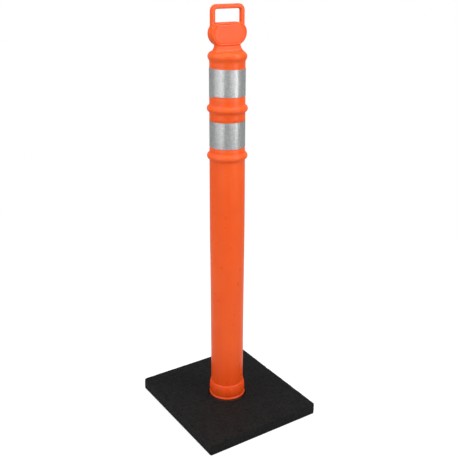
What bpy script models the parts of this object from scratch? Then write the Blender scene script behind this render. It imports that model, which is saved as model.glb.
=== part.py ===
"""Delineator post: a hollow moulded post, two reflective bands and a rubber base slab.

The origin is on the floor under the post's axis. The base's long side runs along X, and the flat
head and its handle lie in the YZ plane, so the head's faces look along +X and -X.
"""
from math import acos, cos, degrees, pi, radians, sin, sqrt

import bmesh
import bpy
from mathutils import Vector

GAP = 0.0003                 # air between touching pieces
WALL = 0.0032                # moulded wall of the post

# Post, turned part
TUBE_RADIUS = 0.0508
TUBE_SEGMENTS = 48
CORE_SEGMENTS = 24
FOOT_RADIUS = 0.074          # flange that carries the base when the post is lifted
FOOT_HEIGHT = 0.008
FOOT_EDGE = 0.002
SPIGOT_RADIUS = 0.0560       # stretch inside the base's hole
LIP_RADIUS = 0.0570          # bead that keeps the base down
LIP_BOTTOM = 0.0362
LIP_HEIGHT = 0.0088
BARREL_RADIUS = 0.0557       # swelling over the lip, widest low down
BARREL_BOTTOM = 0.0465
BARREL_WAIST = 0.0012        # how far the barrel draws in at its lower end
BARREL_DROOP = ((0.0565, 0.0), (0.0646, 0.0006), (0.0760, 0.0020))   # height, radius lost
BARREL_TOP = 0.0845
RING_HEIGHTS = (0.829, 0.965)
RING_RISE = 0.0071
RING_ARC = 0.0100
RING_FILLET = 0.0060
SHOULDER_RING_HEIGHT = 1.1075
SHOULDER_RADIUS = 0.0546
SHOULDER_TOP = 1.1215
CORE_RING_REACH = 0.011      # half height of the hollow's widening behind a ring
CORE_RING_RISE = 0.0045

# Reflective bands
BAND_HEIGHT = 0.0762
BAND_THICKNESS = 0.0005
BAND_CENTRES = {"upper_reflective_band": 1.0376, "lower_reflective_band": 0.8927}
BAND_RECESS = 0.0004         # shallow seat moulded into the tube
BAND_LAP = radians(15)       # sector where the band's end lies on its start
BAND_SEAM = radians(-77)     # the visible cut edge, seen from the axis

# Head, in the YZ plane: a slot shape whose lower corners are the rounder ones
HEAD_LENGTH = 0.1126
HEAD_CENTRE = 1.1700         # level of the two ends
HEAD_ABOVE = 0.0272
HEAD_BELOW = 0.0336
HEAD_THICKNESS = 0.0280
HEAD_EDGE = 0.0050
NECK_HALF = (0.0115, 0.0378)
NECK_CORNER = 0.0050
NECK_WAIST = 1.1390          # below this the neck flares
NECK_FLARE = (10.0, 18.0)    # growth of each half width with the drop squared
NECK_LEVELS = (1.1460, 1.1390, 1.1335, 1.1290, 1.1250, 1.1225, 1.1210)
HANDLE_WIDTH = 0.1066
HANDLE_TOP = 1.2450
HANDLE_BAR = (0.0121, 0.0134)
HANDLE_CORNER = 0.0180
HANDLE_EDGE = 0.0030

# Base slab
BASE_SIZE = (0.4258, 0.3890, 0.0355)
BASE_CORNER = 0.0045
BASE_EDGE = 0.0020
HOLE_RADIUS = 0.0587         # clears the post's rings
RECESS_RADIUS = 0.0770       # underside seat over the foot flange
RECESS_DEPTH = 0.0092
HOLE_CHAMFER = 0.0015
BELOW_FLOOR = -0.010         # where cutters that open downward start


def material(name, colour, roughness):
    mat = bpy.data.materials.new(name)
    mat.use_nodes = True
    shader = mat.node_tree.nodes["Principled BSDF"]
    shader.inputs["Base Color"].default_value = (*colour, 1.0)
    shader.inputs["Roughness"].default_value = roughness
    shader.inputs["Metallic"].default_value = 0.0
    return mat


def new_object(name, bm, mat=None, smooth_angle=35):
    """Store a bmesh as a named object with outward faces and smooth shading."""
    bmesh.ops.recalc_face_normals(bm, faces=bm.faces)
    mesh = bpy.data.meshes.new(name)
    bm.to_mesh(mesh)
    bm.free()
    mesh.shade_smooth()
    mesh.set_sharp_from_angle(angle=radians(smooth_angle))
    if mat:
        mesh.materials.append(mat)
    obj = bpy.data.objects.new(name, mesh)
    bpy.context.scene.collection.objects.link(obj)
    return obj


def as_cutter(obj):
    obj.hide_render = True
    obj.display_type = "WIRE"
    return obj


def boolean(target, other, operation):
    modifier = target.modifiers.new(operation.lower() + "_" + other.name, "BOOLEAN")
    modifier.operation = operation
    modifier.solver = "EXACT"
    modifier.object = other


def loft(rings, capped=True):
    """Skin equal-length point rings one after another."""
    bm = bmesh.new()
    rows = [[bm.verts.new(point) for point in ring] for ring in rings]
    count = len(rows[0])
    pairs = list(zip(rows, rows[1:]))
    if not capped:
        pairs.append((rows[-1], rows[0]))
    for low, high in pairs:
        for i in range(count):
            j = (i + 1) % count
            bm.faces.new((low[i], low[j], high[j], high[i]))
    if capped:
        bm.faces.new(rows[0])
        bm.faces.new(rows[-1])
    return bm


def lathe(profile, segments):
    """Turn a profile of (radius, z) points; a radius of 0 closes it on the axis."""
    bm = bmesh.new()
    turned = []
    for radius, z in profile:
        if radius == 0:
            turned.append([bm.verts.new((0, 0, z))])
            continue
        angles = [2 * pi * i / segments for i in range(segments)]
        turned.append([bm.verts.new((radius * cos(a), radius * sin(a), z)) for a in angles])
    for low, high in zip(turned, turned[1:]):
        for i in range(segments):
            j = (i + 1) % segments
            corners = [low[i % len(low)], low[j % len(low)], high[j % len(high)], high[i % len(high)]]
            bm.faces.new(list(dict.fromkeys(corners)))
    return bm


def arc(centre, radius, start, end, steps):
    """Points from start to end degrees about centre, in a plane's own two coordinates."""
    angles = [radians(start + (end - start) * i / steps) for i in range(steps + 1)]
    return [(centre[0] + radius * cos(a), centre[1] + radius * sin(a)) for a in angles]


def bead(height, base_radius, rise, arc_radius, fillet, steps):
    """Profile of a rounded ring that grows out of the tube through fillets, bottom to top."""
    crown = base_radius + rise - arc_radius
    span = arc_radius + fillet
    across = base_radius + fillet - crown
    reach = sqrt(span ** 2 - across ** 2)
    tilt = degrees(acos(across / span))
    lower = arc((base_radius + fillet, height - reach), fillet, 180, 180 - tilt, 2)
    crest = arc((crown, height), arc_radius, -tilt, tilt, steps)
    upper = arc((base_radius + fillet, height + reach), fillet, 180 + tilt, 180, 2)
    return lower + crest[1:-1] + upper


def band_seat(centre):
    """Shallow recess that the band lies in."""
    half = BAND_HEIGHT / 2 + 0.0010
    floor = TUBE_RADIUS - BAND_RECESS
    return [(TUBE_RADIUS, centre - half - 0.0004), (floor, centre - half),
            (floor, centre + half), (TUBE_RADIUS, centre + half + 0.0004)]


def post_profile():
    """Outside of the turned part, from the foot's lower rim to the top of the shoulder."""
    low_ring, high_ring = RING_HEIGHTS
    lower_band, upper_band = sorted(BAND_CENTRES.values())
    lip_mid = LIP_BOTTOM + LIP_HEIGHT / 2
    profile = [(FOOT_RADIUS - FOOT_EDGE, 0.0), (FOOT_RADIUS, FOOT_EDGE)]
    profile += [(FOOT_RADIUS, FOOT_HEIGHT - FOOT_EDGE), (FOOT_RADIUS - FOOT_EDGE, FOOT_HEIGHT)]
    profile += [(SPIGOT_RADIUS, FOOT_HEIGHT), (SPIGOT_RADIUS, LIP_BOTTOM - 0.0012)]
    profile += arc((LIP_RADIUS - LIP_HEIGHT / 2, lip_mid), LIP_HEIGHT / 2, -50, 50, 4)
    profile += [(BARREL_RADIUS - BARREL_WAIST, BARREL_BOTTOM)]
    profile += [(BARREL_RADIUS - lost, height) for height, lost in BARREL_DROOP]
    profile += [(TUBE_RADIUS + 0.0010, BARREL_TOP), (TUBE_RADIUS, BARREL_TOP + 0.0012)]
    profile += bead(low_ring, TUBE_RADIUS, RING_RISE, RING_ARC, RING_FILLET, 6)
    profile += band_seat(lower_band)
    profile += bead(high_ring, TUBE_RADIUS, RING_RISE, RING_ARC, RING_FILLET, 6)
    profile += band_seat(upper_band)
    profile += shoulder()
    return profile + [(0, SHOULDER_TOP)]


def shoulder():
    """The top ring and the dome over it."""
    rise = SHOULDER_RADIUS - TUBE_RADIUS
    ring = bead(SHOULDER_RING_HEIGHT, TUBE_RADIUS, rise, RING_ARC, RING_FILLET, 6)
    below = [point for point in ring if point[1] <= SHOULDER_RING_HEIGHT + 1e-6]
    dome_radius = SHOULDER_TOP - SHOULDER_RING_HEIGHT
    return below + arc((SHOULDER_RADIUS - dome_radius, SHOULDER_RING_HEIGHT), dome_radius, 12, 90, 5)


def core_profile():
    """Inside of the turned part: the hollow that opens through the foot."""
    inner = TUBE_RADIUS - BAND_RECESS - WALL
    bore = SPIGOT_RADIUS - WALL
    profile = [(0, BELOW_FLOOR), (bore, BELOW_FLOOR), (bore, BARREL_TOP - 0.020)]
    profile += [(inner, BARREL_TOP + 0.004)]
    for height in RING_HEIGHTS:
        profile += [(inner, height - CORE_RING_REACH), (inner + CORE_RING_RISE, height)]
        profile += [(inner, height + CORE_RING_REACH)]
    profile += [(inner, SHOULDER_RING_HEIGHT - 0.010), (inner + 0.002, SHOULDER_RING_HEIGHT)]
    profile += [(SHOULDER_RADIUS - 0.013, SHOULDER_TOP - WALL), (0, SHOULDER_TOP - WALL)]
    return profile


def head_outline(inset, x, steps=5):
    """The head's slot shape in the YZ plane, shrunk by inset."""
    quarters = ((1, HEAD_BELOW, -90), (1, HEAD_ABOVE, 0), (-1, HEAD_ABOVE, 90), (-1, HEAD_BELOW, 180))
    points = []
    for side, radius, start in quarters:
        centre = (side * (HEAD_LENGTH / 2 - radius), HEAD_CENTRE)
        quarter = arc(centre, radius - inset, start, start + 90, steps)
        points += quarter if start in (-90, 90) else quarter[1:]
    return [(x, y, z) for y, z in points]


def plate(outline, thickness, edge, steps):
    """A flat plate with rounded rims, from an outline that takes an inset and an x."""
    rims = []
    for i in range(steps + 1):
        angle = pi / 2 * i / steps
        rims.append((edge * (1 - sin(angle)), thickness / 2 - edge + edge * cos(angle)))
    rings = [outline(inset, x) for inset, x in rims]
    rings += [outline(inset, -x) for inset, x in reversed(rims)]
    return loft(rings)


def rounded_section(half_x, half_y, corner, z, steps=3):
    """A level rounded rectangle, used for the neck."""
    points = []
    for quarter, (sx, sy) in enumerate(((1, 1), (-1, 1), (-1, -1), (1, -1))):
        centre = (sx * (half_x - corner), sy * (half_y - corner))
        points += arc(centre, corner, 90 * quarter, 90 * quarter + 90, steps)
    return [(x, y, z) for x, y in points]


def neck_body(shrink=0.0, bottom=SHOULDER_TOP - 0.009, top=NECK_LEVELS[0]):
    """The neck flares down into the shoulder in a concave sweep."""
    rings = []
    for z in (top, *NECK_LEVELS[1:], bottom):
        drop = max(NECK_WAIST - max(z, NECK_LEVELS[-1]), 0.0)
        half_x, half_y = (half + flare * drop ** 2 - shrink for half, flare in zip(NECK_HALF, NECK_FLARE))
        rings.append(rounded_section(half_x, half_y, NECK_CORNER - shrink / 2, z))
    return loft(rings)


def handle_path(steps=5):
    """Centreline of the handle loop in the YZ plane, with its outward normal."""
    bar = HANDLE_BAR[0]
    radius = HANDLE_CORNER - bar / 2
    half_width = HANDLE_WIDTH / 2 - bar / 2 - radius
    top = HANDLE_TOP - bar / 2 - radius
    bottom = HEAD_CENTRE
    path = []
    corners = ((half_width, top, 0), (-half_width, top, 90), (-half_width, bottom, 180),
               (half_width, bottom, 270))
    for y, z, start in corners:
        for i in range(steps + 1):
            angle = radians(start + 90 * i / steps)
            normal = Vector((0, cos(angle), sin(angle)))
            path.append((Vector((0, y, z)) + radius * normal, normal))
    return path


def handle_body():
    width, thickness = HANDLE_BAR
    section = []
    for quarter, (sx, sy) in enumerate(((1, 1), (-1, 1), (-1, -1), (1, -1))):
        centre = (sx * (width / 2 - HANDLE_EDGE), sy * (thickness / 2 - HANDLE_EDGE))
        section += arc(centre, HANDLE_EDGE, 90 * quarter, 90 * quarter + 90, 3)
    across = Vector((1, 0, 0))
    rings = [[place + out * normal + side * across for out, side in section]
             for place, normal in handle_path()]
    return loft(rings, capped=False)


def build_post():
    mat = material("post_polyethylene", (0.88, 0.13, 0.02), 0.42)
    post = new_object("post_body", lathe([(0, 0.0)] + post_profile(), TUBE_SEGMENTS), mat)

    def head_core_outline(inset, x):
        return head_outline(inset + WALL, x)

    head = plate(head_outline, HEAD_THICKNESS, HEAD_EDGE, 3)
    additions = {"neck_shape": neck_body(), "head_shape": head, "handle_shape": handle_body()}
    for name, bm in additions.items():
        boolean(post, as_cutter(new_object(name, bm)), "UNION")
    head_core = plate(head_core_outline, HEAD_THICKNESS - 2 * WALL, HEAD_EDGE - WALL, 1)
    neck_core = neck_body(shrink=WALL, bottom=SHOULDER_TOP - 0.012, top=HEAD_CENTRE)
    cores = {"tube_core": lathe(core_profile(), CORE_SEGMENTS), "neck_core": neck_core,
             "head_core": head_core}
    for name, bm in cores.items():
        boolean(post, as_cutter(new_object(name, bm)), "DIFFERENCE")


def band_outline(inner, outer, z):
    """One level of a band: a full turn whose last sector is a lap one thickness higher."""
    step = 2 * pi / TUBE_SEGMENTS
    outside = []
    for i in range(TUBE_SEGMENTS):
        angle = i * step
        behind = (BAND_SEAM - angle) % (2 * pi)
        lift = BAND_THICKNESS if behind <= BAND_LAP else 0.0
        outside.append(((outer + lift) * cos(angle), (outer + lift) * sin(angle), z))
    inside = [(inner * cos(i * step), inner * sin(i * step), z) for i in range(TUBE_SEGMENTS)]
    return outside, inside


def build_band(name, mat):
    inner = TUBE_RADIUS - BAND_RECESS + GAP
    outer = inner + BAND_THICKNESS
    centre = BAND_CENTRES[name]
    low_out, low_in = band_outline(inner, outer, centre - BAND_HEIGHT / 2)
    high_out, high_in = band_outline(inner, outer, centre + BAND_HEIGHT / 2)
    new_object(name, loft([low_out, high_out, high_in, low_in], capped=False), mat)


def base_outline(inset, z, steps=4):
    length, width, _ = BASE_SIZE
    points = []
    for quarter, (sx, sy) in enumerate(((1, 1), (-1, 1), (-1, -1), (1, -1))):
        centre = (sx * (length / 2 - BASE_CORNER), sy * (width / 2 - BASE_CORNER))
        points += arc(centre, BASE_CORNER - inset, 90 * quarter, 90 * quarter + 90, steps)
    return [(x, y, z) for x, y in points]


def build_base():
    mat = material("base_recycled_rubber", (0.012, 0.012, 0.011), 0.62)
    height = BASE_SIZE[2]
    levels = ((0.0010, 0.0), (0.0, 0.0010), (0.0, height - BASE_EDGE),
              (0.3 * BASE_EDGE, height - 0.3 * BASE_EDGE), (BASE_EDGE, height))
    base = new_object("rubber_base", loft([base_outline(inset, z) for inset, z in levels]), mat)
    mouth, rim = RECESS_RADIUS + HOLE_CHAMFER, HOLE_RADIUS + HOLE_CHAMFER
    above = height + 0.015
    hole = [(0, BELOW_FLOOR), (mouth, BELOW_FLOOR), (mouth, 0.0), (RECESS_RADIUS, HOLE_CHAMFER),
            (RECESS_RADIUS, RECESS_DEPTH), (HOLE_RADIUS, RECESS_DEPTH), (HOLE_RADIUS, height - HOLE_CHAMFER),
            (rim, height), (rim, above), (0, above)]
    boolean(base, as_cutter(new_object("base_hole", lathe(hole, TUBE_SEGMENTS))), "DIFFERENCE")


def main():
    for old in list(bpy.data.objects):
        bpy.data.objects.remove(old)
    build_post()
    sheeting = material("reflective_sheeting", (0.62, 0.64, 0.65), 0.30)
    for name in BAND_CENTRES:
        build_band(name, sheeting)
    build_base()


main()
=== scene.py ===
"""Looks of the delineator post: a moulded shell, two wrapped bands and a crumb-rubber slab."""

from math import atan2, ceil, cos, degrees, hypot, pi, radians, sin, sqrt

import bmesh
import bpy
import numpy as np
from mathutils import Matrix, Vector, noise


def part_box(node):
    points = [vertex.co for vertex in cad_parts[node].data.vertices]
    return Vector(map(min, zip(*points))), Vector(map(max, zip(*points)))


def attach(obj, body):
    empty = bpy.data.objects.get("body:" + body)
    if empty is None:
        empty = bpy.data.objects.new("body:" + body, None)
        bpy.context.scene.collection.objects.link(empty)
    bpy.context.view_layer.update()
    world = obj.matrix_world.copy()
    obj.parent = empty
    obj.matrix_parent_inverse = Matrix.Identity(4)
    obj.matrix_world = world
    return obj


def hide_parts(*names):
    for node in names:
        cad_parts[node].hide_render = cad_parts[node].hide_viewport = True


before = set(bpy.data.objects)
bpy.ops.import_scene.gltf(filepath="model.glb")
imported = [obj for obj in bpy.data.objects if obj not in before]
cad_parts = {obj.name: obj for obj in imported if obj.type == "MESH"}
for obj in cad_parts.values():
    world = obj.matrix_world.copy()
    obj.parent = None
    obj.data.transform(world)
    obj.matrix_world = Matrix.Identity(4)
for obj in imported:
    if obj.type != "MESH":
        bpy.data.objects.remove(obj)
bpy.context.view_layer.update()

# All lengths are in metres and all heights are from the ground.
POST_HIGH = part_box("post_body")[1]
BASE_LOW, BASE_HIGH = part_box("rubber_base")

# Tube and foot
TUBE_RADIUS = 0.0508
WALL = 0.0032
FOOT_RADIUS = POST_HIGH.x
FOOT_HEIGHT = 0.008
FOOT_EDGE = 0.002
SPIGOT_RADIUS = 0.0560       # the stretch inside the base's hole
MOUTH_EDGE = 0.0012          # chamfer inside the open foot

# Lip and barrel
LIP_BOTTOM = 0.0362
LIP_LIFT = 0.0024            # height of the shadowed groove under the lip
LIP_GROOVE = 0.0022          # depth of that groove in the spigot
LIP_GROOVE_SLOPE = 0.0010    # height over which the spigot is drawn in to it
LIP_RADIUS = 0.0570
LIP_HEIGHT = 0.0088
LIP_EDGE = 0.0018
CREASE_RISE = 0.0012         # how far over the lip the crease and the barrel start
CREASE = ((0.0014, -0.0008), (0.0016, 0.0006))   # its points: depth in the barrel, height
BARREL_RADIUS = 0.0557
BARREL_TOP = 0.0845
BARREL_SHOULDER = 0.0030     # height of the barrel's rounded top
BARREL_ROOT = 0.0012         # least height of the barrel over the tube
BARREL_SWELL = 0.0042
BARREL_WAVE = (0.20, 0.70)   # part of a half wave that shapes the swell: start, length
BARREL_FULLNESS = 0.8        # power of that wave; lower is fuller
BARREL_TUCK = 0.00075        # how far its top is drawn back in
BARREL_TUCK_POWER = 2.6
BARREL_STEPS = 14
BARREL_END = (0.0009, 0.0006)          # arc over its top: radius, height of its centre
BARREL_FILLET = (0.0012, 0.0004)       # arc into the tube: radius, height of its centre

# Rings and the seats that the strips lie in
RING_HEIGHTS = (0.829, 0.965)
RING_RISE = 0.0071
RING_ARC = 0.0100
RING_FILLET = 0.0060
SEAT_DEPTH = 0.0004
SEAT_ROOM = 0.0030           # how far a seat reaches past its strip
SEAT_SLOPE = 0.0008
SEAT_END = 0.002             # how far under the splice the turned seat stops

# Shoulder, neck, head and handle
SHOULDER_RING = 1.1075
SHOULDER_RADIUS = 0.0546
SHOULDER_TOP = 1.1215
DRAWN_IN = (0.0008, 1.0765, 1.0800)   # the tube narrows by this much between these heights
NECK_HALF = (0.0115, 0.0378)
NECK_CORNER = 0.0050
NECK_MIDDLE = 1.132
NECK_REACH = 0.020           # half the neck's height, with its ends sunk in shoulder and head
NECK_WAIST = 1.1400
NECK_FLARE = (11.0, 20.0)    # widening below the waist, per squared drop
NECK_FLARE_DROP = 0.0185     # where the widening stops
HEAD_CENTRE = 1.1700
HEAD_HALF = (0.0140, 0.0563)
HEAD_ABOVE = 0.0272          # corner radii, which are also the heights from the centre
HEAD_BELOW = 0.0336
HEAD_EDGE = 0.0036
FACE_LINE = (0.0057, 0.0011, 0.0011)   # inset, half-width and depth of the groove round the face
HANDLE_HALF = 0.0533
HANDLE_BAR = (0.0121, 0.0134)
HANDLE_CORNER = 0.0180
HANDLE_EDGE = 0.0034
RING_BLEND = 0.0090          # fillets between the parts of the head's field
NECK_BLEND = 0.0060
HEAD_BLEND = 0.0022
HANDLE_BLEND = 0.0045

# Moulding detail
PARTING_RISE = 0.00028       # mould line at the two sides
PARTING_WIDTH = 0.0011
MARKS = (                    # azimuth in degrees, height, how far it stands proud, spread
    (-42, 0.0362, 0.0011, 0.0020),
    (50, 0.0400, 0.0016, 0.0022),
    (-17, 0.0790, -0.0011, 0.0026),
)
WAVE_DEPTH = 0.00022
WAVE_SCALE = (14, 14, 7)
BELLY = (0.0009, 0.62, 0.20)           # swelling of the tube: rise, height, reach

# Mesh density of the shell
COLUMNS = 240                # points round the turned shell
COLUMN_PULL = 0.012          # how strongly they gather at the mould lines
OUTER_STEP = 0.008
INNER_STEP = 0.020
SPLICE_HEIGHT = 1.0376       # where turned shell and head meet, behind the upper band
HEAD_STEP = 0.0009           # grid of the head's distance field
HEAD_ROOM = (0.0585, 0.0600)           # half-size of that grid
HEAD_ROOM_ABOVE = 0.0015

# Strips of sheeting
SHEET_THICKNESS = 0.00035
SHEET_AIR = 0.0003           # between the seat's floor and the strip
SHEET_TRIM = 0.0006          # how much lower the strip is than half the CAD band
LAP = radians(15)
LAP_LIFT = 1.15              # in thicknesses, so that the lap clears the strip's start
LAP_RAMP = (-0.09, -0.01)    # angles before the lap between which the strip climbs
STRIP_COLUMNS, STRIP_ROWS = 300, 25
EDGE_WAVE = 0.00025          # unevenness of a strip's long edges
EDGE_WAVE_SCALE = (3, 50)    # round the tube, and from one strip to the other
EDGE_WAVE_APART = 9          # keeps the two edges of a strip from waving together
CELL_PITCH = 0.0032          # of the honeycomb in the sheeting

# Slab
HOLE_RADIUS = 0.0587
RECESS_RADIUS = 0.0770
RECESS_DEPTH = 0.0092
RECESS_EDGE = 0.0015
SLAB_CORNER = 0.0045
SLAB_TOP_EDGE = 0.0022
SLAB_BOTTOM_EDGE = 0.0012
HOLE_EDGE = 0.0016
SLAB_COLUMNS = 900           # points round the slab
SLAB_ROWS = 96               # rings from hole to rim
SIDE_ROWS = 14
UNDER_ROWS = 12
PIT_COUNT, PIT_SEED = 230, 11
PIT_RADII = (0.0012, 0.0036)
PIT_DEPTHS = (0.0004, 0.0013)
PIT_REACH, PIT_STEEPNESS = 3, 1.5      # in radii; how quickly a pit's side rises
MOULDED_RING = (0.0013, 0.094, 0.0018)   # depth, radius and width of the groove round the post
GRAIN_SCALES = (300, 130)
GRAIN_SHARE = 0.9            # weight of the coarser grain
GRAIN_FLOOR = 1.3            # brings the grain above zero, so that it only takes material away
GRAIN_TOP = 0.00055
GRAIN_SIDE = 0.00060
NICK_SCALE = (60, 60, 25)
NICK_START = 0.25
NICK_DEPTH = 0.0040
CALM = (0.004, 0.006)        # smooth rim round the hole: its width, then the change to grain
SIDE_BAND = 0.0023           # how close to the rim a point belongs to the slab's side
SIDE_START = 0.0009          # the side's nicks and grain start above this height
TOP_BAND = 0.0006            # how close to the top a point belongs to it
HOLE_KNEE = 0.6              # height of the one extra ring in the hole, as a share of the top
NICK_SHIFT = 7               # moves the nicks' noise away from the grain's


# ---------------------------------------------------------------- mesh helpers
def mesh_object(name, points, faces, smooth_angle=None):
    mesh = bpy.data.meshes.new(name)
    mesh.from_pydata([tuple(p) for p in points], [], faces)
    mesh.validate()
    mesh.update()
    mesh.shade_smooth()
    if smooth_angle:
        mesh.set_sharp_from_angle(angle=radians(smooth_angle))
    obj = bpy.data.objects.new(name, mesh)
    bpy.context.scene.collection.objects.link(obj)
    return obj


def fix_normals(obj):
    bm = bmesh.new()
    bm.from_mesh(obj.data)
    bmesh.ops.recalc_face_normals(bm, faces=bm.faces)
    bm.to_mesh(obj.data)
    bm.free()
    obj.data.update()


def grid_faces(rows, columns, close_rows=False):
    """Quads of a grid whose columns wrap round, with point index = row * columns + column."""
    faces = []
    for r in range(rows if close_rows else rows - 1):
        low, high = r * columns, (r + 1) % rows * columns
        for c in range(columns):
            n = (c + 1) % columns
            faces.append((low + c, low + n, high + n, high + c))
    return faces


def arc(centre, radius, start, end, steps):
    angles = [radians(start + (end - start) * i / steps) for i in range(steps + 1)]
    return [(centre[0] + radius * cos(a), centre[1] + radius * sin(a)) for a in angles]


def resample(profile, longest):
    """Split the long segments of a profile so that none is longer than the given length."""
    points = [profile[0]]
    for a, b in zip(profile, profile[1:]):
        parts = max(1, ceil(hypot(b[0] - a[0], b[1] - a[1]) / longest))
        points += [(a[0] + (b[0] - a[0]) * i / parts, a[1] + (b[1] - a[1]) * i / parts)
                   for i in range(1, parts + 1)]
    return points


def soft_step(value, low, high):
    t = np.clip((value - low) / (high - low), 0, 1)
    return t * t * (3 - 2 * t)


# ---------------------------------------------------------------- turned shell
def bead(height, radius, rise, arc_radius, fillet, steps):
    """A rounded ring that grows out of the tube through fillets, bottom to top."""
    crown = radius + rise - arc_radius
    lift = (radius + fillet - crown) / (arc_radius + fillet)
    reach = (arc_radius + fillet) * sqrt(1 - lift * lift)
    tilt = degrees(atan2(sqrt(1 - lift * lift), lift))
    lower = arc((radius + fillet, height - reach), fillet, 180, 180 - tilt, 5)
    crest = arc((crown, height), arc_radius, -tilt, tilt, steps)
    upper = arc((radius + fillet, height + reach), fillet, 180 + tilt, 180, 5)
    return lower + crest[1:-1] + upper


def foot_and_lip():
    """Foot flange, spigot, and the lip with a groove below it and a crease above it."""
    edge = FOOT_EDGE
    points = arc((FOOT_RADIUS - edge, edge), edge, -90, 0, 4)
    points += arc((FOOT_RADIUS - edge, FOOT_HEIGHT - edge), edge, 0, 90, 4)
    points += arc((SPIGOT_RADIUS + edge, FOOT_HEIGHT + edge), edge, 270, 180, 3)
    groove = SPIGOT_RADIUS - LIP_GROOVE
    points += [(SPIGOT_RADIUS, LIP_BOTTOM - LIP_GROOVE_SLOPE), (groove, LIP_BOTTOM)]
    points += [(groove, LIP_BOTTOM + LIP_LIFT)]
    skirt = (LIP_RADIUS - LIP_EDGE, LIP_BOTTOM + LIP_LIFT + LIP_EDGE)
    points += arc(skirt, LIP_EDGE, -80, 32, 8)
    crease = LIP_BOTTOM + LIP_HEIGHT + CREASE_RISE
    return points + [(BARREL_RADIUS - depth, crease + rise) for depth, rise in CREASE]


def barrel(bottom):
    """The swelling over the lip, which meets the tube at a crisp line."""
    points = []
    top = BARREL_TOP - BARREL_SHOULDER
    start, length = BARREL_WAVE
    for i in range(BARREL_STEPS + 1):
        t = i / BARREL_STEPS
        bulge = BARREL_SWELL * sin(pi * (start + length * t)) ** BARREL_FULLNESS
        tuck = BARREL_TUCK * t ** BARREL_TUCK_POWER
        points.append((TUBE_RADIUS + BARREL_ROOT + bulge - tuck, bottom + (top - bottom) * t))
    end_radius = points[-1][0]
    radius, rise = BARREL_END
    points += arc((end_radius - radius, top + rise), radius, 20, 75, 4)
    radius, rise = BARREL_FILLET
    points += arc((TUBE_RADIUS + radius, BARREL_TOP + rise), radius, 240, 180, 5)
    return points


def outer_profile():
    """Outside of the shell from the foot's rim to the splice behind the upper band."""
    points = foot_and_lip() + barrel(LIP_BOTTOM + LIP_HEIGHT + CREASE_RISE + CREASE_RISE)
    seat = TUBE_RADIUS - SEAT_DEPTH
    for ring, band in zip(RING_HEIGHTS, ("lower_reflective_band", "upper_reflective_band")):
        points += bead(ring, TUBE_RADIUS, RING_RISE, RING_ARC, RING_FILLET, 16)
        low, high = (corner.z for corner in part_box(band))
        points += [(TUBE_RADIUS, low - SEAT_ROOM - SEAT_SLOPE), (seat, low - SEAT_ROOM)]
        if band.startswith("upper"):
            return points + [(seat, SPLICE_HEIGHT - SEAT_END)]
        points += [(seat, high + SEAT_ROOM), (TUBE_RADIUS, high + SEAT_ROOM + SEAT_SLOPE)]


def inner_profile():
    """Wall of the hollow, from under the dome down to the foot's opening."""
    inner, bore = TUBE_RADIUS - SEAT_DEPTH - WALL, SPIGOT_RADIUS - WALL
    softer = 0.002               # the rings are blunter inside
    dome_side, dome_drop = 0.014, 0.001
    barrel_start, barrel_end = 0.004, 0.020    # above and below the barrel's outer top
    rise, arc_radius = RING_RISE - softer, RING_ARC - softer
    points = [(SHOULDER_RADIUS - dome_side, SHOULDER_TOP - WALL - dome_drop)]
    points += [(inner, SHOULDER_RING)]
    for ring in reversed(RING_HEIGHTS):
        points += reversed(bead(ring, inner, rise, arc_radius, RING_FILLET, 6))
    points += [(inner, BARREL_TOP + barrel_start), (bore, BARREL_TOP - barrel_end)]
    return points + [(bore, MOUTH_EDGE), (bore + MOUTH_EDGE, 0.0)]


def parting_rise(x):
    """The mould line lies in the head's plane, x = 0."""
    return PARTING_RISE * np.exp(-(x / PARTING_WIDTH) ** 2)


def shell_marks(angle, z):
    """Small moulding marks on the turned shell: how far a point stands proud."""
    rise = 0.0
    for azimuth, height, amount, spread in MARKS:
        aside = (angle - radians(azimuth) + pi) % (2 * pi) - pi
        distance = hypot(aside * LIP_RADIUS, z - height)
        rise += amount * np.exp(-(distance / spread) ** 2)
    return rise


def wall_wave(point):
    """Slow unevenness of a blown wall, which swells a little at mid-height."""
    rise, height, reach = BELLY
    place = Vector([c * scale for c, scale in zip(point, WAVE_SCALE)])
    swelling = rise * np.exp(-((point[2] - height) / reach) ** 2)
    return WAVE_DEPTH * noise.noise(place) + swelling


def shell_angles():
    """Even columns, drawn together at the two mould lines."""
    even = np.arange(COLUMNS) * 2 * pi / COLUMNS
    return even - COLUMN_PULL * np.sin(2 * even + pi)


# ---------------------------------------------------------------- head, from a distance field
def corner_field(a, b):
    """Distance to the overlap of two shapes at right angles, given the distance to each."""
    return np.hypot(np.maximum(a, 0), np.maximum(b, 0)) + np.minimum(np.maximum(a, b), 0)


def rounded(a, b, edge):
    """The same overlap with its rim rounded."""
    return corner_field(a + edge, b + edge) - edge


def join(a, b, reach):
    """Union with a fillet."""
    h = np.maximum(reach - np.abs(a - b), 0) / reach
    return np.minimum(a, b) - h * h * h * reach / 6


def shoulder_field(x, y, z):
    """Domed shoulder with its ring, and the tube and the seat's upper end below it."""
    radius = np.hypot(x, y)
    dome = SHOULDER_TOP - SHOULDER_RING
    above = np.hypot(np.maximum(radius - (SHOULDER_RADIUS - dome), 0),
                     np.maximum(z - SHOULDER_RING, 0)) - dome
    below = np.hypot(np.maximum(radius - (SHOULDER_RADIUS - RING_ARC), 0),
                     np.maximum(SHOULDER_RING - z, 0)) - RING_ARC
    cap = np.where(z >= SHOULDER_RING, above, below)
    amount, start, end = DRAWN_IN
    drawn_in = amount * soft_step(z, start, end)
    tube = np.maximum(radius - TUBE_RADIUS + drawn_in, z - SHOULDER_RING)
    seat_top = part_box("upper_reflective_band")[1].z + SEAT_ROOM
    slope = SEAT_SLOPE / 2
    tube = tube + SEAT_DEPTH * soft_step(-z, -seat_top - slope, -seat_top + slope)
    return join(tube, cap, RING_BLEND)


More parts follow.
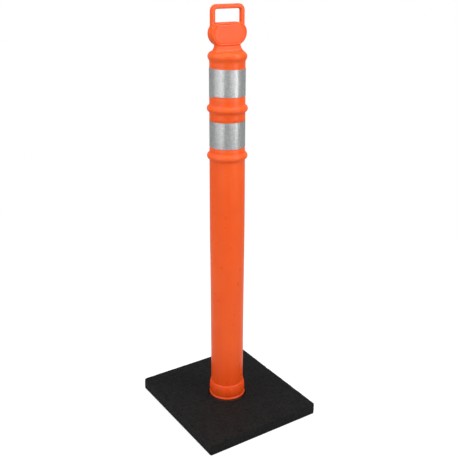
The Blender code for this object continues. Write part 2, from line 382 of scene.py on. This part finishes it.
def neck_field(x, y, z):
    """Flat-sided neck that widens below its waist."""
    drop = np.clip(NECK_WAIST - z, 0, NECK_FLARE_DROP)
    side_x, side_y = (np.abs(place) - (half + flare * drop ** 2 - NECK_CORNER)
                      for place, half, flare in zip((x, y), NECK_HALF, NECK_FLARE))
    section = corner_field(side_x, side_y) - NECK_CORNER
    return np.maximum(section, np.abs(z - NECK_MIDDLE) - NECK_REACH)


def head_field(x, y, z):
    """Flat head with a fine groove round its face."""
    corner = np.where(z > HEAD_CENTRE, HEAD_ABOVE, HEAD_BELOW)
    straight = np.maximum(np.abs(y) - HEAD_HALF[1] + corner, 0)
    outline = np.hypot(straight, z - HEAD_CENTRE) - corner
    inset, width, depth = FACE_LINE
    groove = depth * np.exp(-((outline + inset) / width) ** 2)
    return rounded(outline, np.abs(x) - HEAD_HALF[0] + groove, HEAD_EDGE)


def handle_field(x, y, z):
    """Rounded loop whose lower bar is buried in the head."""
    width, thickness = HANDLE_BAR
    corner = HANDLE_CORNER - width / 2
    top, bottom = POST_HIGH.z - PARTING_RISE - width / 2, HEAD_CENTRE
    side_y = np.abs(y) - (HANDLE_HALF - width / 2 - corner)
    side_z = np.abs(z - (top + bottom) / 2) - ((top - bottom) / 2 - corner)
    line = corner_field(side_y, side_z) - corner
    return rounded(np.abs(line) - width / 2, np.abs(x) - thickness / 2, HANDLE_EDGE)


def top_field(x, y, z):
    """Signed distance of everything above the splice."""
    head = join(head_field(x, y, z), handle_field(x, y, z), HANDLE_BLEND)
    stem = join(shoulder_field(x, y, z), neck_field(x, y, z), NECK_BLEND)
    return join(stem, head, HEAD_BLEND) - parting_rise(x)


def surface_net(field, low, high, step):
    """Quad mesh of a field's zero level: a point per crossed cell, a quad per crossed edge."""
    axes = [np.arange(a, b + step, step) for a, b in zip(low, high)]
    values = field(*np.meshgrid(*axes, indexing="ij"))
    inside = values < 0
    corners = [(i, j, k) for i in (0, 1) for j in (0, 1) for k in (0, 1)]
    cells = tuple(n - 1 for n in values.shape)

    def shifted(array, offset):
        return array[tuple(slice(o, o + n) for o, n in zip(offset, cells))]

    count = sum(shifted(inside, c).astype(np.int8) for c in corners)
    crossed = (count > 0) & (count < len(corners))
    where = np.argwhere(crossed)
    total = np.zeros((len(where), 3))
    hits = np.zeros(len(where))
    for a in corners:
        for axis in range(3):
            if a[axis]:
                continue
            b = tuple(c + (n == axis) for n, c in enumerate(a))
            va, vb = (values[tuple((where + o).T)] for o in (a, b))
            hit = (va < 0) != (vb < 0)
            share = np.where(hit, va / np.where(hit, va - vb, 1), 0)
            place = np.array(a, float) + share[:, None] * (np.arange(3) == axis)
            total += place * hit[:, None]
            hits += hit
    points = np.array(low) + (where + total / hits[:, None]) * step
    index = np.full(cells, -1)
    index[crossed] = np.arange(len(where))
    return points, net_faces(inside, index)


def net_faces(inside, index):
    """Quads of the net, each joining the points of the four cells round a crossed edge."""
    faces = []
    for axis in range(3):
        u, v = (axis + 1) % 3, (axis + 2) % 3
        start = [slice(1, -1)] * 3
        start[axis] = slice(0, -1)
        end = list(start)
        end[axis] = slice(1, None)
        first, second = inside[tuple(start)], inside[tuple(end)]
        offset = [1, 1, 1]
        offset[axis] = 0
        edge = np.argwhere(first != second) + offset
        outward = first[first != second]
        step_u, step_v = np.eye(3, dtype=int)[u], np.eye(3, dtype=int)[v]
        ring = [edge - step_u - step_v, edge - step_v, edge, edge - step_u]
        quads = np.stack([index[tuple(cell.T)] for cell in ring], 1)
        quads[~outward] = quads[~outward][:, ::-1]
        faces.append(quads)
    return np.concatenate(faces)


def settle(points, field, rounds=2, reach=2e-5):
    """Move points onto the field's zero level."""
    for _ in range(rounds):
        slope = np.stack([(field(*(points + reach * e).T) - field(*(points - reach * e).T))
                          / (2 * reach) for e in np.eye(3)], 1)
        slope /= np.maximum((slope ** 2).sum(1, keepdims=True), 0.25)
        points = points - field(*points.T)[:, None] * slope
    return points


def open_loop(faces):
    """Points on the open rim of a face set."""
    seen = {}
    for face in faces:
        for a, b in zip(face, np.roll(face, -1)):
            key = (min(a, b), max(a, b))
            seen[key] = seen.get(key, 0) + 1
    return sorted({n for key, uses in seen.items() if uses == 1 for n in key})


def zip_loops(lower, upper):
    """Triangles between two rims given as (angle, index) lists sorted by angle."""
    faces = []
    i = j = 0
    low, high = len(lower), len(upper)
    while i < low or j < high:
        angle_low = lower[(i + 1) % low][0] + (2 * pi if i + 1 >= low else 0)
        angle_high = upper[(j + 1) % high][0] + (2 * pi if j + 1 >= high else 0)
        a, b = lower[i % low][1], upper[j % high][1]
        if j >= high or (i < low and angle_low <= angle_high):
            faces.append((a, lower[(i + 1) % low][1], b))
            i += 1
        else:
            faces.append((a, upper[(j + 1) % high][1], b))
            j += 1
    return faces


def turned_points(inner, outer, angles):
    """Points of the turned shell, row by row; only the outside carries marks and waves."""
    points = []
    for row, (radius, z) in enumerate(inner + outer):
        outside = row >= len(inner)
        seated = outside and radius < TUBE_RADIUS - SEAT_DEPTH / 2
        for angle in angles:
            reach = radius
            if outside:
                reach += shell_marks(angle, z)
            if outside and not seated and LIP_BOTTOM < z:
                reach += parting_rise(radius * cos(angle))
                reach += wall_wave((radius * cos(angle), radius * sin(angle), z))
            points.append((reach * cos(angle), reach * sin(angle), z))
    return points


def build_shell():
    """One closed mesh: turned outside, hollow inside and the head spliced on behind the band."""
    outer = resample(outer_profile(), OUTER_STEP)
    inner = resample(inner_profile(), INNER_STEP)
    row_count = len(inner) + len(outer)
    angles = shell_angles()
    points = turned_points(inner, outer, angles)
    faces = grid_faces(row_count, COLUMNS)
    apex = len(points)
    points.append((0, 0, SHOULDER_TOP - WALL))
    faces += [(apex, (c + 1) % COLUMNS, c) for c in range(COLUMNS)]

    room_x, room_y = HEAD_ROOM
    low = (-room_x, -room_y, SPLICE_HEIGHT)
    high = (room_x, room_y, POST_HIGH.z + HEAD_ROOM_ABOVE)
    top_points, top_faces = surface_net(top_field, low, high, HEAD_STEP)
    rim = open_loop(top_faces)
    top_points = settle(top_points, top_field)
    top_points[rim, 2] = SPLICE_HEIGHT
    start = len(points)
    points += [tuple(p) for p in top_points]
    faces += [tuple(int(n) + start for n in face) for face in top_faces]

    last_row = (row_count - 1) * COLUMNS
    lower = sorted((angles[c] % (2 * pi), last_row + c) for c in range(COLUMNS))
    upper = sorted((atan2(points[start + n][1], points[start + n][0]) % (2 * pi), start + n)
                   for n in rim)
    faces += zip_loops(lower, upper)
    shell = mesh_object("post_shell", points, faces)
    fix_normals(shell)
    return shell


# ---------------------------------------------------------------- reflective bands
def strip_faces():
    """Under side, outer side and the four cut edges of a strip."""
    row_count = STRIP_ROWS + 1
    layer = (STRIP_COLUMNS + 1) * row_count
    faces = []
    for i in range(STRIP_COLUMNS):
        for j in range(STRIP_ROWS):
            a = i * row_count + j
            b = a + row_count
            faces.append((a, a + 1, b + 1, b))
            faces.append((layer + a, layer + b, layer + b + 1, layer + a + 1))
        for j in (0, STRIP_ROWS):
            a = i * row_count + j
            b = a + row_count
            rim = (a, b, layer + b, layer + a)
            faces.append(rim if j == 0 else rim[::-1])
    for i in (0, STRIP_COLUMNS):
        for j in range(STRIP_ROWS):
            a = i * row_count + j
            rim = (a, a + 1, layer + a + 1, layer + a)
            faces.append(rim[::-1] if i == 0 else rim)
    return faces


def build_band(name, node, seam_top, seam_bottom, drift, lift):
    """A strip wrapped once round the tube, with its slanted end lying on its start.

    seam_top and seam_bottom are the azimuths of the visible cut, in degrees. drift is how far
    the strip has sunk after a full turn, and lift is how far it sits above its nominal place."""
    low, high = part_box(node)
    centre, half = (low.z + high.z) / 2 + lift, (high.z - low.z) / 2 - SHEET_TRIM
    under = TUBE_RADIUS - SEAT_DEPTH + SHEET_AIR
    around, between = EDGE_WAVE_SCALE
    points = []
    coordinates = []
    for side in (0, 1):
        for i in range(STRIP_COLUMNS + 1):
            along = i / STRIP_COLUMNS
            for j in range(STRIP_ROWS + 1):
                across = j / STRIP_ROWS
                seam = radians(seam_bottom + (seam_top - seam_bottom) * across)
                angle = seam - LAP + along * (2 * pi + LAP)
                turned = angle - seam
                settled = soft_step(turned - (2 * pi - LAP), *LAP_RAMP)
                radius = under + (side + settled * LAP_LIFT) * SHEET_THICKNESS
                middle = centre + drift * (0.5 - (turned + LAP) / (2 * pi + LAP))
                edge = EDGE_WAVE_APART * (across > 0.5)
                wave = noise.noise(Vector((cos(angle) * around, sin(angle) * around,
                                           centre * between + edge)))
                height = (2 * across - 1) * half
                points.append((radius * cos(angle), radius * sin(angle),
                               middle + height + EDGE_WAVE * wave))
                coordinates.append((turned * TUBE_RADIUS, height))
    band = mesh_object(name, points, strip_faces(), smooth_angle=40)
    fix_normals(band)
    uv = band.data.uv_layers.new(name="strip")
    for loop in band.data.loops:
        uv.data[loop.index].uv = coordinates[loop.vertex_index]
    return band


# ---------------------------------------------------------------- rubber slab
def slab_outline():
    """Even points round the slab's outline, anticlockwise from the middle of its +X side."""
    corner = SLAB_CORNER
    half_x, half_y = BASE_HIGH.x - corner, BASE_HIGH.y - corner
    sides = (2 * half_y, 2 * half_x, 2 * half_y, 2 * half_x)
    turn = corner * pi / 2
    total = sum(sides) + 4 * turn
    corners = ((half_x, half_y), (-half_x, half_y), (-half_x, -half_y), (half_x, -half_y))
    directions = ((0, 1), (-1, 0), (0, -1), (1, 0))
    points = []
    for i in range(SLAB_COLUMNS):
        walk = (total * i / SLAB_COLUMNS + half_y) % total
        for n, (cx, cy) in enumerate(corners):
            if walk <= sides[n]:
                dx, dy = directions[n]
                back = sides[n] - walk
                points.append((cx + corner * dy - dx * back, cy - corner * dx - dy * back))
                break
            walk -= sides[n]
            if walk <= turn:
                angle = pi / 2 * n + walk / corner
                points.append((cx + corner * cos(angle), cy + corner * sin(angle)))
                break
            walk -= turn
    return points


def slab_stations():
    """Cross-section from the hole over the top, down the side and back underneath.

    Each station is (share of the way from hole to rim, inset from the rim, hole radius, z)."""
    top, edge, foot = BASE_HIGH.z, SLAB_TOP_EDGE, SLAB_BOTTOM_EDGE
    stations = [(0.0, 0.0, HOLE_RADIUS + HOLE_EDGE * (1 - cos(a)),
                 top - HOLE_EDGE + HOLE_EDGE * sin(a)) for a in np.linspace(0, pi / 2, 4)]
    hole = HOLE_RADIUS + HOLE_EDGE
    stations += [(i / SLAB_ROWS, edge, hole, top) for i in range(1, SLAB_ROWS)]
    stations += [(1.0, edge * (1 - sin(a)), hole, top - edge + edge * cos(a))
                 for a in np.linspace(0, pi / 2, 5)]
    side = top - edge - foot
    stations += [(1.0, 0.0, hole, top - edge - side * i / SIDE_ROWS)
                 for i in range(1, SIDE_ROWS + 1)]
    stations += [(1.0, foot, hole, 0.0)]
    recess_rim = RECESS_RADIUS + RECESS_EDGE
    stations += [(i / UNDER_ROWS, foot, recess_rim, 0.0) for i in range(UNDER_ROWS - 1, -1, -1)]
    stations += [(0.0, 0.0, RECESS_RADIUS, RECESS_EDGE), (0.0, 0.0, RECESS_RADIUS, RECESS_DEPTH)]
    stations += [(0.0, 0.0, HOLE_RADIUS, RECESS_DEPTH), (0.0, 0.0, HOLE_RADIUS, top * HOLE_KNEE)]
    return stations


def pits():
    """Places, radii and depths of the small hollows in the slab's top."""
    random = np.random.default_rng(PIT_SEED)
    low, high = (BASE_LOW.x, BASE_LOW.y), (BASE_HIGH.x, BASE_HIGH.y)
    places = random.uniform(low, high, (PIT_COUNT, 2))
    radii = random.uniform(*PIT_RADII, PIT_COUNT)
    depths = random.uniform(*PIT_DEPTHS, PIT_COUNT)
    return np.column_stack((places, radii, depths))


def build_slab():
    outline = np.array(slab_outline())
    direction = outline / np.linalg.norm(outline, axis=1, keepdims=True)
    rows = []
    for share, inset, radius, z in slab_stations():
        rim = outline * (1 - inset / np.abs(outline).max(axis=1, keepdims=True))
        ring = direction * radius
        flat = ring + (rim - ring) * share
        rows.append(np.column_stack((flat, np.full(SLAB_COLUMNS, z))))
    points = np.concatenate(rows)
    relief(points)
    faces = grid_faces(len(rows), SLAB_COLUMNS, close_rows=True)
    slab = mesh_object("base_slab", points, faces, smooth_angle=60)
    fix_normals(slab)
    return slab


def relief(points):
    """Crumb grain, pits, the moulded ring round the post and nicked edges."""
    flat = points[:, :2]
    radius = np.hypot(*flat.T)
    on_top = points[:, 2] > BASE_HIGH.z - TOP_BAND
    near_rim = ((np.abs(flat[:, 0]) > BASE_HIGH.x - SIDE_BAND)
                | (np.abs(flat[:, 1]) > BASE_HIGH.y - SIDE_BAND))
    on_side = near_rim & (points[:, 2] > SIDE_START)

    drop = np.zeros(len(points))
    for x, y, size, depth in pits():
        distance = np.hypot(flat[:, 0] - x, flat[:, 1] - y) / size
        hollow = depth * np.exp(-distance ** 2 * PIT_STEEPNESS)
        drop += np.where(distance < PIT_REACH, hollow, 0)
    ring_depth, ring_radius, ring_width = MOULDED_RING
    drop += ring_depth * np.exp(-((radius - ring_radius) / ring_width) ** 2)
    fine, coarse = GRAIN_SCALES
    grain = np.array([noise.noise(Vector(p) * fine) + GRAIN_SHARE * noise.noise(Vector(p) * coarse)
                      for p in points]) + GRAIN_FLOOR
    calm, change = CALM
    away = np.clip((radius - HOLE_RADIUS - calm) / change, 0, 1)
    points[:, 2] -= np.where(on_top, (drop + GRAIN_TOP * grain) * away, 0)

    places = points * NICK_SCALE + (0, 0, NICK_SHIFT)
    nick = np.array([max(0.0, noise.noise(Vector(place)) - NICK_START) for place in places])
    pull = np.where(on_side, GRAIN_SIDE * grain + NICK_DEPTH * nick, 0)
    points[:, :2] -= flat / radius[:, None] * pull[:, None]


# ---------------------------------------------------------------- materials
POST_DEEP = (0.755, 0.086, 0.0100, 1.0)
POST_LIGHT = (0.815, 0.102, 0.0140, 1.0)
POST_FOOT_SHADE = (0.70, 0.058, 0.0055, 1.0)
POST_STREAK = (0.84, 0.118, 0.018, 1.0)
POST_SCUFF = (0.93, 0.30, 0.14, 1.0)
POST_GROOVE_SHADE = (0.020, 0.011, 0.008, 1.0)
SHEET_DARK = (0.30, 0.305, 0.305, 1)
SHEET_LIGHT = (0.46, 0.465, 0.465, 1)
SHEET_CLOUD = (0.45, 0.455, 0.455, 1)
SHEET_LINE = (0.56, 0.565, 0.565, 1)
CRUMB_SCALE = 330            # crumbs per metre
FLOOR_GREY = (0.45, 0.45, 0.45, 1)
FLOOR_RADIUS = 2.0
FLOOR_FADE = (0.8, 1.9)      # distances between which the floor gives way to the backdrop
FLOOR_LIFT = 0.60            # how much whiter the floor looks than it lights


class Shader:
    """A few short words for building node trees."""

    def __init__(self, name):
        self.material = bpy.data.materials.new(name)
        self.material.use_nodes = True
        self.nodes = self.material.node_tree.nodes
        self.links = self.material.node_tree.links
        self.main = self.nodes["Principled BSDF"]
        self.place = self.nodes.new("ShaderNodeTexCoord").outputs["Object"]

    def feed(self, socket, value):
        """Link a socket to another one, or set its value."""
        if isinstance(value, bpy.types.NodeSocket):
            self.links.new(value, socket)
        else:
            socket.default_value = value

    def set(self, **values):
        for key, value in values.items():
            self.feed(self.main.inputs[key.replace("_", " ")], value)

    def add(self, kind, output=0, inputs=None, **settings):
        node = self.nodes.new(kind)
        for key, value in settings.items():
            setattr(node, key, value)
        for key, value in (inputs or {}).items():
            self.feed(node.inputs[key], value)
        return node.outputs[output]

    def scaled(self, x, y, z):
        return self.add("ShaderNodeMapping", inputs={"Vector": self.place, "Scale": (x, y, z)})

    def noise(self, scale, detail, place=None, roughness=0.5):
        return self.add("ShaderNodeTexNoise", inputs={
            "Vector": place or self.place, "Scale": scale, "Detail": detail,
            "Roughness": roughness})

    def math(self, operation, a, b):
        return self.add("ShaderNodeMath", operation=operation, inputs={0: a, 1: b})

    def band(self, value, low, high, to_low=0.0, to_high=1.0):
        """Map low..high to to_low..to_high, clamped."""
        return self.add("ShaderNodeMapRange", inputs={
            "Value": value, "From Min": low, "From Max": high,
            "To Min": to_low, "To Max": to_high})

    def mix(self, share, a, b):
        """Mix of two colours."""
        node = self.nodes.new("ShaderNodeMix")
        node.data_type = "RGBA"
        for key, value in (("Factor", share), ("A", a), ("B", b)):
            self.feed([s for s in node.inputs if s.name == key and s.enabled][0], value)
        return [s for s in node.outputs if s.enabled][0]

    def cover(self, colour, mask, amount, over):
        """Lay a colour over another where the mask is high, at most by the given amount."""
        return self.mix(self.math("MULTIPLY", mask, amount), colour, over)

    def bump(self, height, strength, distance, normal=None):
        inputs = {"Height": height, "Strength": strength, "Distance": distance}
        if normal:
            inputs["Normal"] = normal
        return self.add("ShaderNodeBump", inputs=inputs)


def grey(value, warmth=0.0):
    return (value * (1 + warmth), value, value * (1 - warmth), 1.0)


def post_material():
    """Satin polyethylene: mottling, flow streaks, scuffs, orange-peel skin, painted shade towards
    the foot and in the groove under the lip.
    """
    s = Shader("moulded_polyethylene")
    mottle = s.band(s.noise(scale=11, detail=3), 0.3, 0.7)
    streak = s.band(s.noise(scale=1.0, detail=3, place=s.scaled(90, 90, 3.0)), 0.35, 0.65)
    colour = s.mix(mottle, POST_DEEP, POST_LIGHT)
    height = s.add("ShaderNodeSeparateXYZ", inputs={0: s.place}, output=2)
    # Painted shade: the colour darkens towards the foot, from 0.24 m down to 0.09 m above the
    # ground
    colour = s.mix(s.band(height, 0.09, 0.24, to_low=0.8, to_high=0.0), colour, POST_FOOT_SHADE)
    colour = s.cover(colour, streak, 0.22, POST_STREAK)
    fine = s.noise(scale=1.0, detail=6, place=s.scaled(160, 160, 34), roughness=0.65)
    scuff = s.band(fine, 0.66, 0.74)
    colour = s.cover(colour, scuff, 0.30, POST_SCUFF)
    satin = s.band(s.noise(scale=40, detail=4), 0.3, 0.7, to_low=0.27, to_high=0.33)
    rough = s.math("ADD", satin, s.math("MULTIPLY", scuff, 0.16))
    skin = s.bump(s.noise(scale=520, detail=2), strength=0.30, distance=0.00012)
    flow = s.noise(scale=1.0, detail=4, place=s.scaled(420, 420, 60))
    skin = s.bump(flow, strength=0.20, distance=0.00010, normal=skin)

    # Painted shade in the groove under the lip, fading out inside the base's hole
    groove_top = LIP_BOTTOM + LIP_LIFT
    groove_shade = s.band(height, groove_top - 0.0004, groove_top + 0.0008, to_low=0.93, to_high=0.0)
    slab_top = BASE_HIGH.z
    fade = s.band(height, slab_top - 0.0065, slab_top - 0.0030, to_low=0.10, to_high=1.0)
    groove_shade = s.math("MULTIPLY", groove_shade, fade)
    # Painted shade: near-black colour laid into the groove, which is also made rougher
    colour = s.mix(groove_shade, colour, POST_GROOVE_SHADE)
    rough = s.math("ADD", rough, s.math("MULTIPLY", groove_shade, 0.55))
    s.set(Base_Color=colour, Roughness=rough, Normal=skin)
    s.set(IOR=1.51, Specular_IOR_Level=0.25)
    s.set(Subsurface_Weight=0.25, Subsurface_Radius=(0.008, 0.0022, 0.0008), Subsurface_Scale=1.0)
    return s.material


def sheeting_material():
    """Prismatic sheeting: a glossy film over a lattice of small silver cells."""
    s = Shader("prismatic_sheeting")
    strip = s.add("ShaderNodeUVMap", uv_map="strip")
    lines = []
    for turn in (60, -60, 0):
        turned = s.add("ShaderNodeMapping", inputs={
            "Vector": strip, "Rotation": (0, 0, radians(turn)), "Scale": (1 / CELL_PITCH,) * 3})
        along = s.add("ShaderNodeSeparateXYZ", inputs={0: turned}, output=1)
        wave = s.math("PINGPONG", along, 0.5)
        lines.append(s.band(wave, 0.035, 0.09, to_low=1.0, to_high=0.0))
    lattice = s.math("MAXIMUM", s.math("MAXIMUM", lines[0], lines[1]), lines[2])
    cell = s.add("ShaderNodeTexVoronoi", output="Color", inputs={
        "Vector": strip, "Scale": 1 / CELL_PITCH, "Randomness": 0.25}, voronoi_dimensions="2D")
    tone = s.band(s.add("ShaderNodeSeparateColor", inputs={0: cell}), 0.0, 1.0)
    cloud = s.band(s.noise(scale=30, detail=3), 0.3, 0.7)
    colour = s.mix(tone, SHEET_DARK, SHEET_LIGHT)
    colour = s.cover(colour, cloud, 0.3, SHEET_CLOUD)
    colour = s.cover(colour, lattice, 0.45, SHEET_LINE)
    relief_height = s.math("ADD", lattice, s.math("MULTIPLY", tone, 0.7))
    facet = s.bump(relief_height, strength=0.45, distance=0.00014)
    rough = s.band(tone, 0, 1, to_low=0.18, to_high=0.25)
    s.set(Base_Color=colour, Roughness=rough, Normal=facet)
    s.set(Metallic=0.55, Coat_Weight=0.4, Coat_Roughness=0.12, Coat_IOR=1.5)
    return s.material


def rubber_material():
    """Pressed rubber crumb: dark grains of several greys, paler patches, patches of painted shade
    standing for hollows, and odd flecks.
    """
    s = Shader("crumb_rubber")
    cells = {"Vector": s.place, "Scale": CRUMB_SCALE}
    crumbs = s.add("ShaderNodeTexVoronoi", output="Color", inputs=cells)
    edge = s.add("ShaderNodeTexVoronoi", feature="DISTANCE_TO_EDGE", inputs=cells)
    tone = s.add("ShaderNodeSeparateColor", inputs={0: crumbs})
    cloud = s.band(s.noise(scale=22, detail=4), 0.35, 0.65)
    colour = s.mix(tone, grey(0.0030), grey(0.0095, warmth=0.05))
    colour = s.cover(colour, cloud, 0.45, grey(0.011, warmth=0.06))
    mottle = s.band(s.noise(scale=150, detail=3), 0.48, 0.62)
    colour = s.cover(colour, mottle, 0.55, grey(0.017, warmth=0.02))
    # Painted shade: darker patches that stand in for the shade inside small hollows
    hollow = s.band(s.noise(scale=95, detail=3), 0.56, 0.66)
    colour = s.cover(colour, hollow, 0.75, grey(0.0022))
    fleck = s.band(s.noise(scale=700, detail=1), 0.70, 0.74)
    colour = s.cover(colour, fleck, 0.5, grey(0.045, warmth=0.04))
    crack = s.band(edge, 0.0, 0.10, to_low=1.0, to_high=0.0)
    colour = s.cover(colour, crack, 0.6, grey(0.0045))
    crumb_height = s.math("ADD", s.band(edge, 0.0, 0.25), s.math("MULTIPLY", tone, 0.8))
    skin = s.bump(crumb_height, strength=0.55, distance=0.0005)
    skin = s.bump(s.noise(scale=900, detail=3), strength=0.35, distance=0.0003, normal=skin)
    rough = s.band(tone, 0, 1, to_low=0.50, to_high=0.74)
    s.set(Base_Color=colour, Roughness=rough, Normal=skin, IOR=1.5, Specular_IOR_Level=0.12)
    return s.material


def floor_material():
    """Pale sweep that looks as white as the backdrop behind it, and fades into it."""
    s = Shader("pale_sweep")
    seen = s.add("ShaderNodeLightPath", output="Is Camera Ray")
    s.set(Base_Color=FLOOR_GREY, Roughness=0.9, Specular_IOR_Level=0.1)
    s.set(Emission_Color=(1, 1, 1, 1), Emission_Strength=s.math("MULTIPLY", seen, FLOOR_LIFT))
    away = s.add("ShaderNodeVectorMath", operation="LENGTH", output="Value", inputs={0: s.place})
    backdrop = s.add("ShaderNodeBsdfTransparent")
    blend = s.add("ShaderNodeMixShader", inputs={
        0: s.band(away, *FLOOR_FADE), 1: s.main.outputs[0], 2: backdrop})
    s.links.new(blend, s.nodes["Material Output"].inputs["Surface"])
    return s.material


# ---------------------------------------------------------------- stage
CAMERA_PLACE = Vector((1.6752, -1.0889, 1.3586))
CAMERA_HEADING = -56.82      # degrees from +Y; negative is towards -X
CAMERA_DIP = 20.764
CAMERA_ROLL = 0.114
CAMERA_LENS = 56.16
POST_MIDDLE = Vector((0, 0, 0.62))
POST_UPPER = Vector((0, 0, 0.9))
SURROUND_TINT = (0.97, 0.98, 1.0, 1)
SURROUND_STRENGTH = 0.29


def add_camera():
    data = bpy.data.cameras.new("camera")
    data.lens = CAMERA_LENS
    data.sensor_width = 36
    data.clip_end = 200
    camera = bpy.data.objects.new("camera", data)
    heading, dip = radians(CAMERA_HEADING), radians(CAMERA_DIP)
    forward = Vector((sin(heading) * cos(dip), cos(heading) * cos(dip), -sin(dip)))
    roll = Matrix.Rotation(radians(CAMERA_ROLL), 3, "Z")
    turn = forward.to_track_quat("-Z", "Y").to_matrix() @ roll
    camera.matrix_world = Matrix.Translation(CAMERA_PLACE) @ turn.to_4x4()
    bpy.context.scene.collection.objects.link(camera)
    bpy.context.scene.camera = camera


def softbox(name, aside, distance, height, size, power, target=POST_MIDDLE, gloss=True):
    """A panel light; aside is its angle from the camera's side of the post, in degrees."""
    data = bpy.data.lights.new(name, "AREA")
    data.shape = "RECTANGLE"
    data.size, data.size_y = size
    data.energy = power
    light = bpy.data.objects.new(name, data)
    angle = atan2(CAMERA_PLACE.y, CAMERA_PLACE.x) + radians(aside)
    light.location = (distance * cos(angle), distance * sin(angle), height)
    light.rotation_euler = (target - light.location).to_track_quat("-Z", "Y").to_euler()
    light.visible_camera = False
    light.visible_glossy = gloss
    bpy.context.scene.collection.objects.link(light)


def add_lights():
    upright = {"distance": 2.4, "height": 1.35}
    softbox("left_outer", -67, size=(1.45, 2.4), power=13, **upright)
    softbox("left_inner", -35, size=(1.30, 2.4), power=24, **upright)
    softbox("right_inner", 29, size=(1.15, 2.4), power=10, **upright)
    softbox("right_outer", 59, size=(0.88, 2.4), power=27, **upright)
    softbox("front_top", 0, 1.6, 3.0, size=(1.6, 1.2), power=9, target=POST_UPPER)
    softbox("top_left", -76, 1.7, 2.9, size=(1.0, 1.2), power=19, target=POST_UPPER)
    softbox("top_right", 76, 1.7, 2.9, size=(1.0, 1.2), power=27, target=POST_UPPER)
    softbox("overhead", 0, 0.3, 3.3, size=(1.4, 1.4), power=18, target=Vector((0, 0, 0)))
    softbox("back_left", -140, 2.6, 1.4, size=(1.4, 2.2), power=24, gloss=False)
    softbox("back_right", 140, 2.6, 1.4, size=(1.4, 2.2), power=24, gloss=False)


def add_world():
    """The eye sees a white backdrop; the object is lit by a dimmer surround."""
    world = bpy.data.worlds.new("surround")
    bpy.context.scene.world = world
    world.use_nodes = True
    nodes, links = world.node_tree.nodes, world.node_tree.links
    nodes.clear()
    seen, lit = nodes.new("ShaderNodeBackground"), nodes.new("ShaderNodeBackground")
    seen.inputs["Color"].default_value = (1, 1, 1, 1)
    lit.inputs["Color"].default_value = SURROUND_TINT
    lit.inputs["Strength"].default_value = SURROUND_STRENGTH
    path, mix, out = (nodes.new(kind) for kind in (
        "ShaderNodeLightPath", "ShaderNodeMixShader", "ShaderNodeOutputWorld"))
    links.new(path.outputs["Is Camera Ray"], mix.inputs[0])
    links.new(lit.outputs[0], mix.inputs[1])
    links.new(seen.outputs[0], mix.inputs[2])
    links.new(mix.outputs[0], out.inputs["Surface"])


def add_stage():
    bpy.context.scene.view_settings.view_transform = "Standard"
    add_world()
    bpy.ops.mesh.primitive_circle_add(
        vertices=96, radius=FLOOR_RADIUS, fill_type="NGON", location=(0, 0, 0))
    floor = bpy.context.object
    floor.name = "floor"
    floor.data.materials.append(floor_material())
    add_lights()


# ---------------------------------------------------------------- assembly
def finish_piece(piece, material, slot, body, *nodes):
    piece.data.materials.append(material)
    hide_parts(*nodes)
    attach(piece, body)


def main():
    add_camera()
    add_stage()
    finish_piece(build_shell(), post_material(), "post_plastic", "post", "post_body")
    sheeting = sheeting_material()
    upper = build_band("upper_band", "upper_reflective_band", -100, -82, drift=0.0056, lift=0.0)
    lower = build_band("lower_band", "lower_reflective_band", 118, 124, drift=-0.0012, lift=0.0010)
    finish_piece(upper, sheeting, "reflective_sheeting", "post", "upper_reflective_band")
    finish_piece(lower, sheeting, "reflective_sheeting", "post", "lower_reflective_band")
    finish_piece(build_slab(), rubber_material(), "base_rubber", "base", "rubber_base")


main()
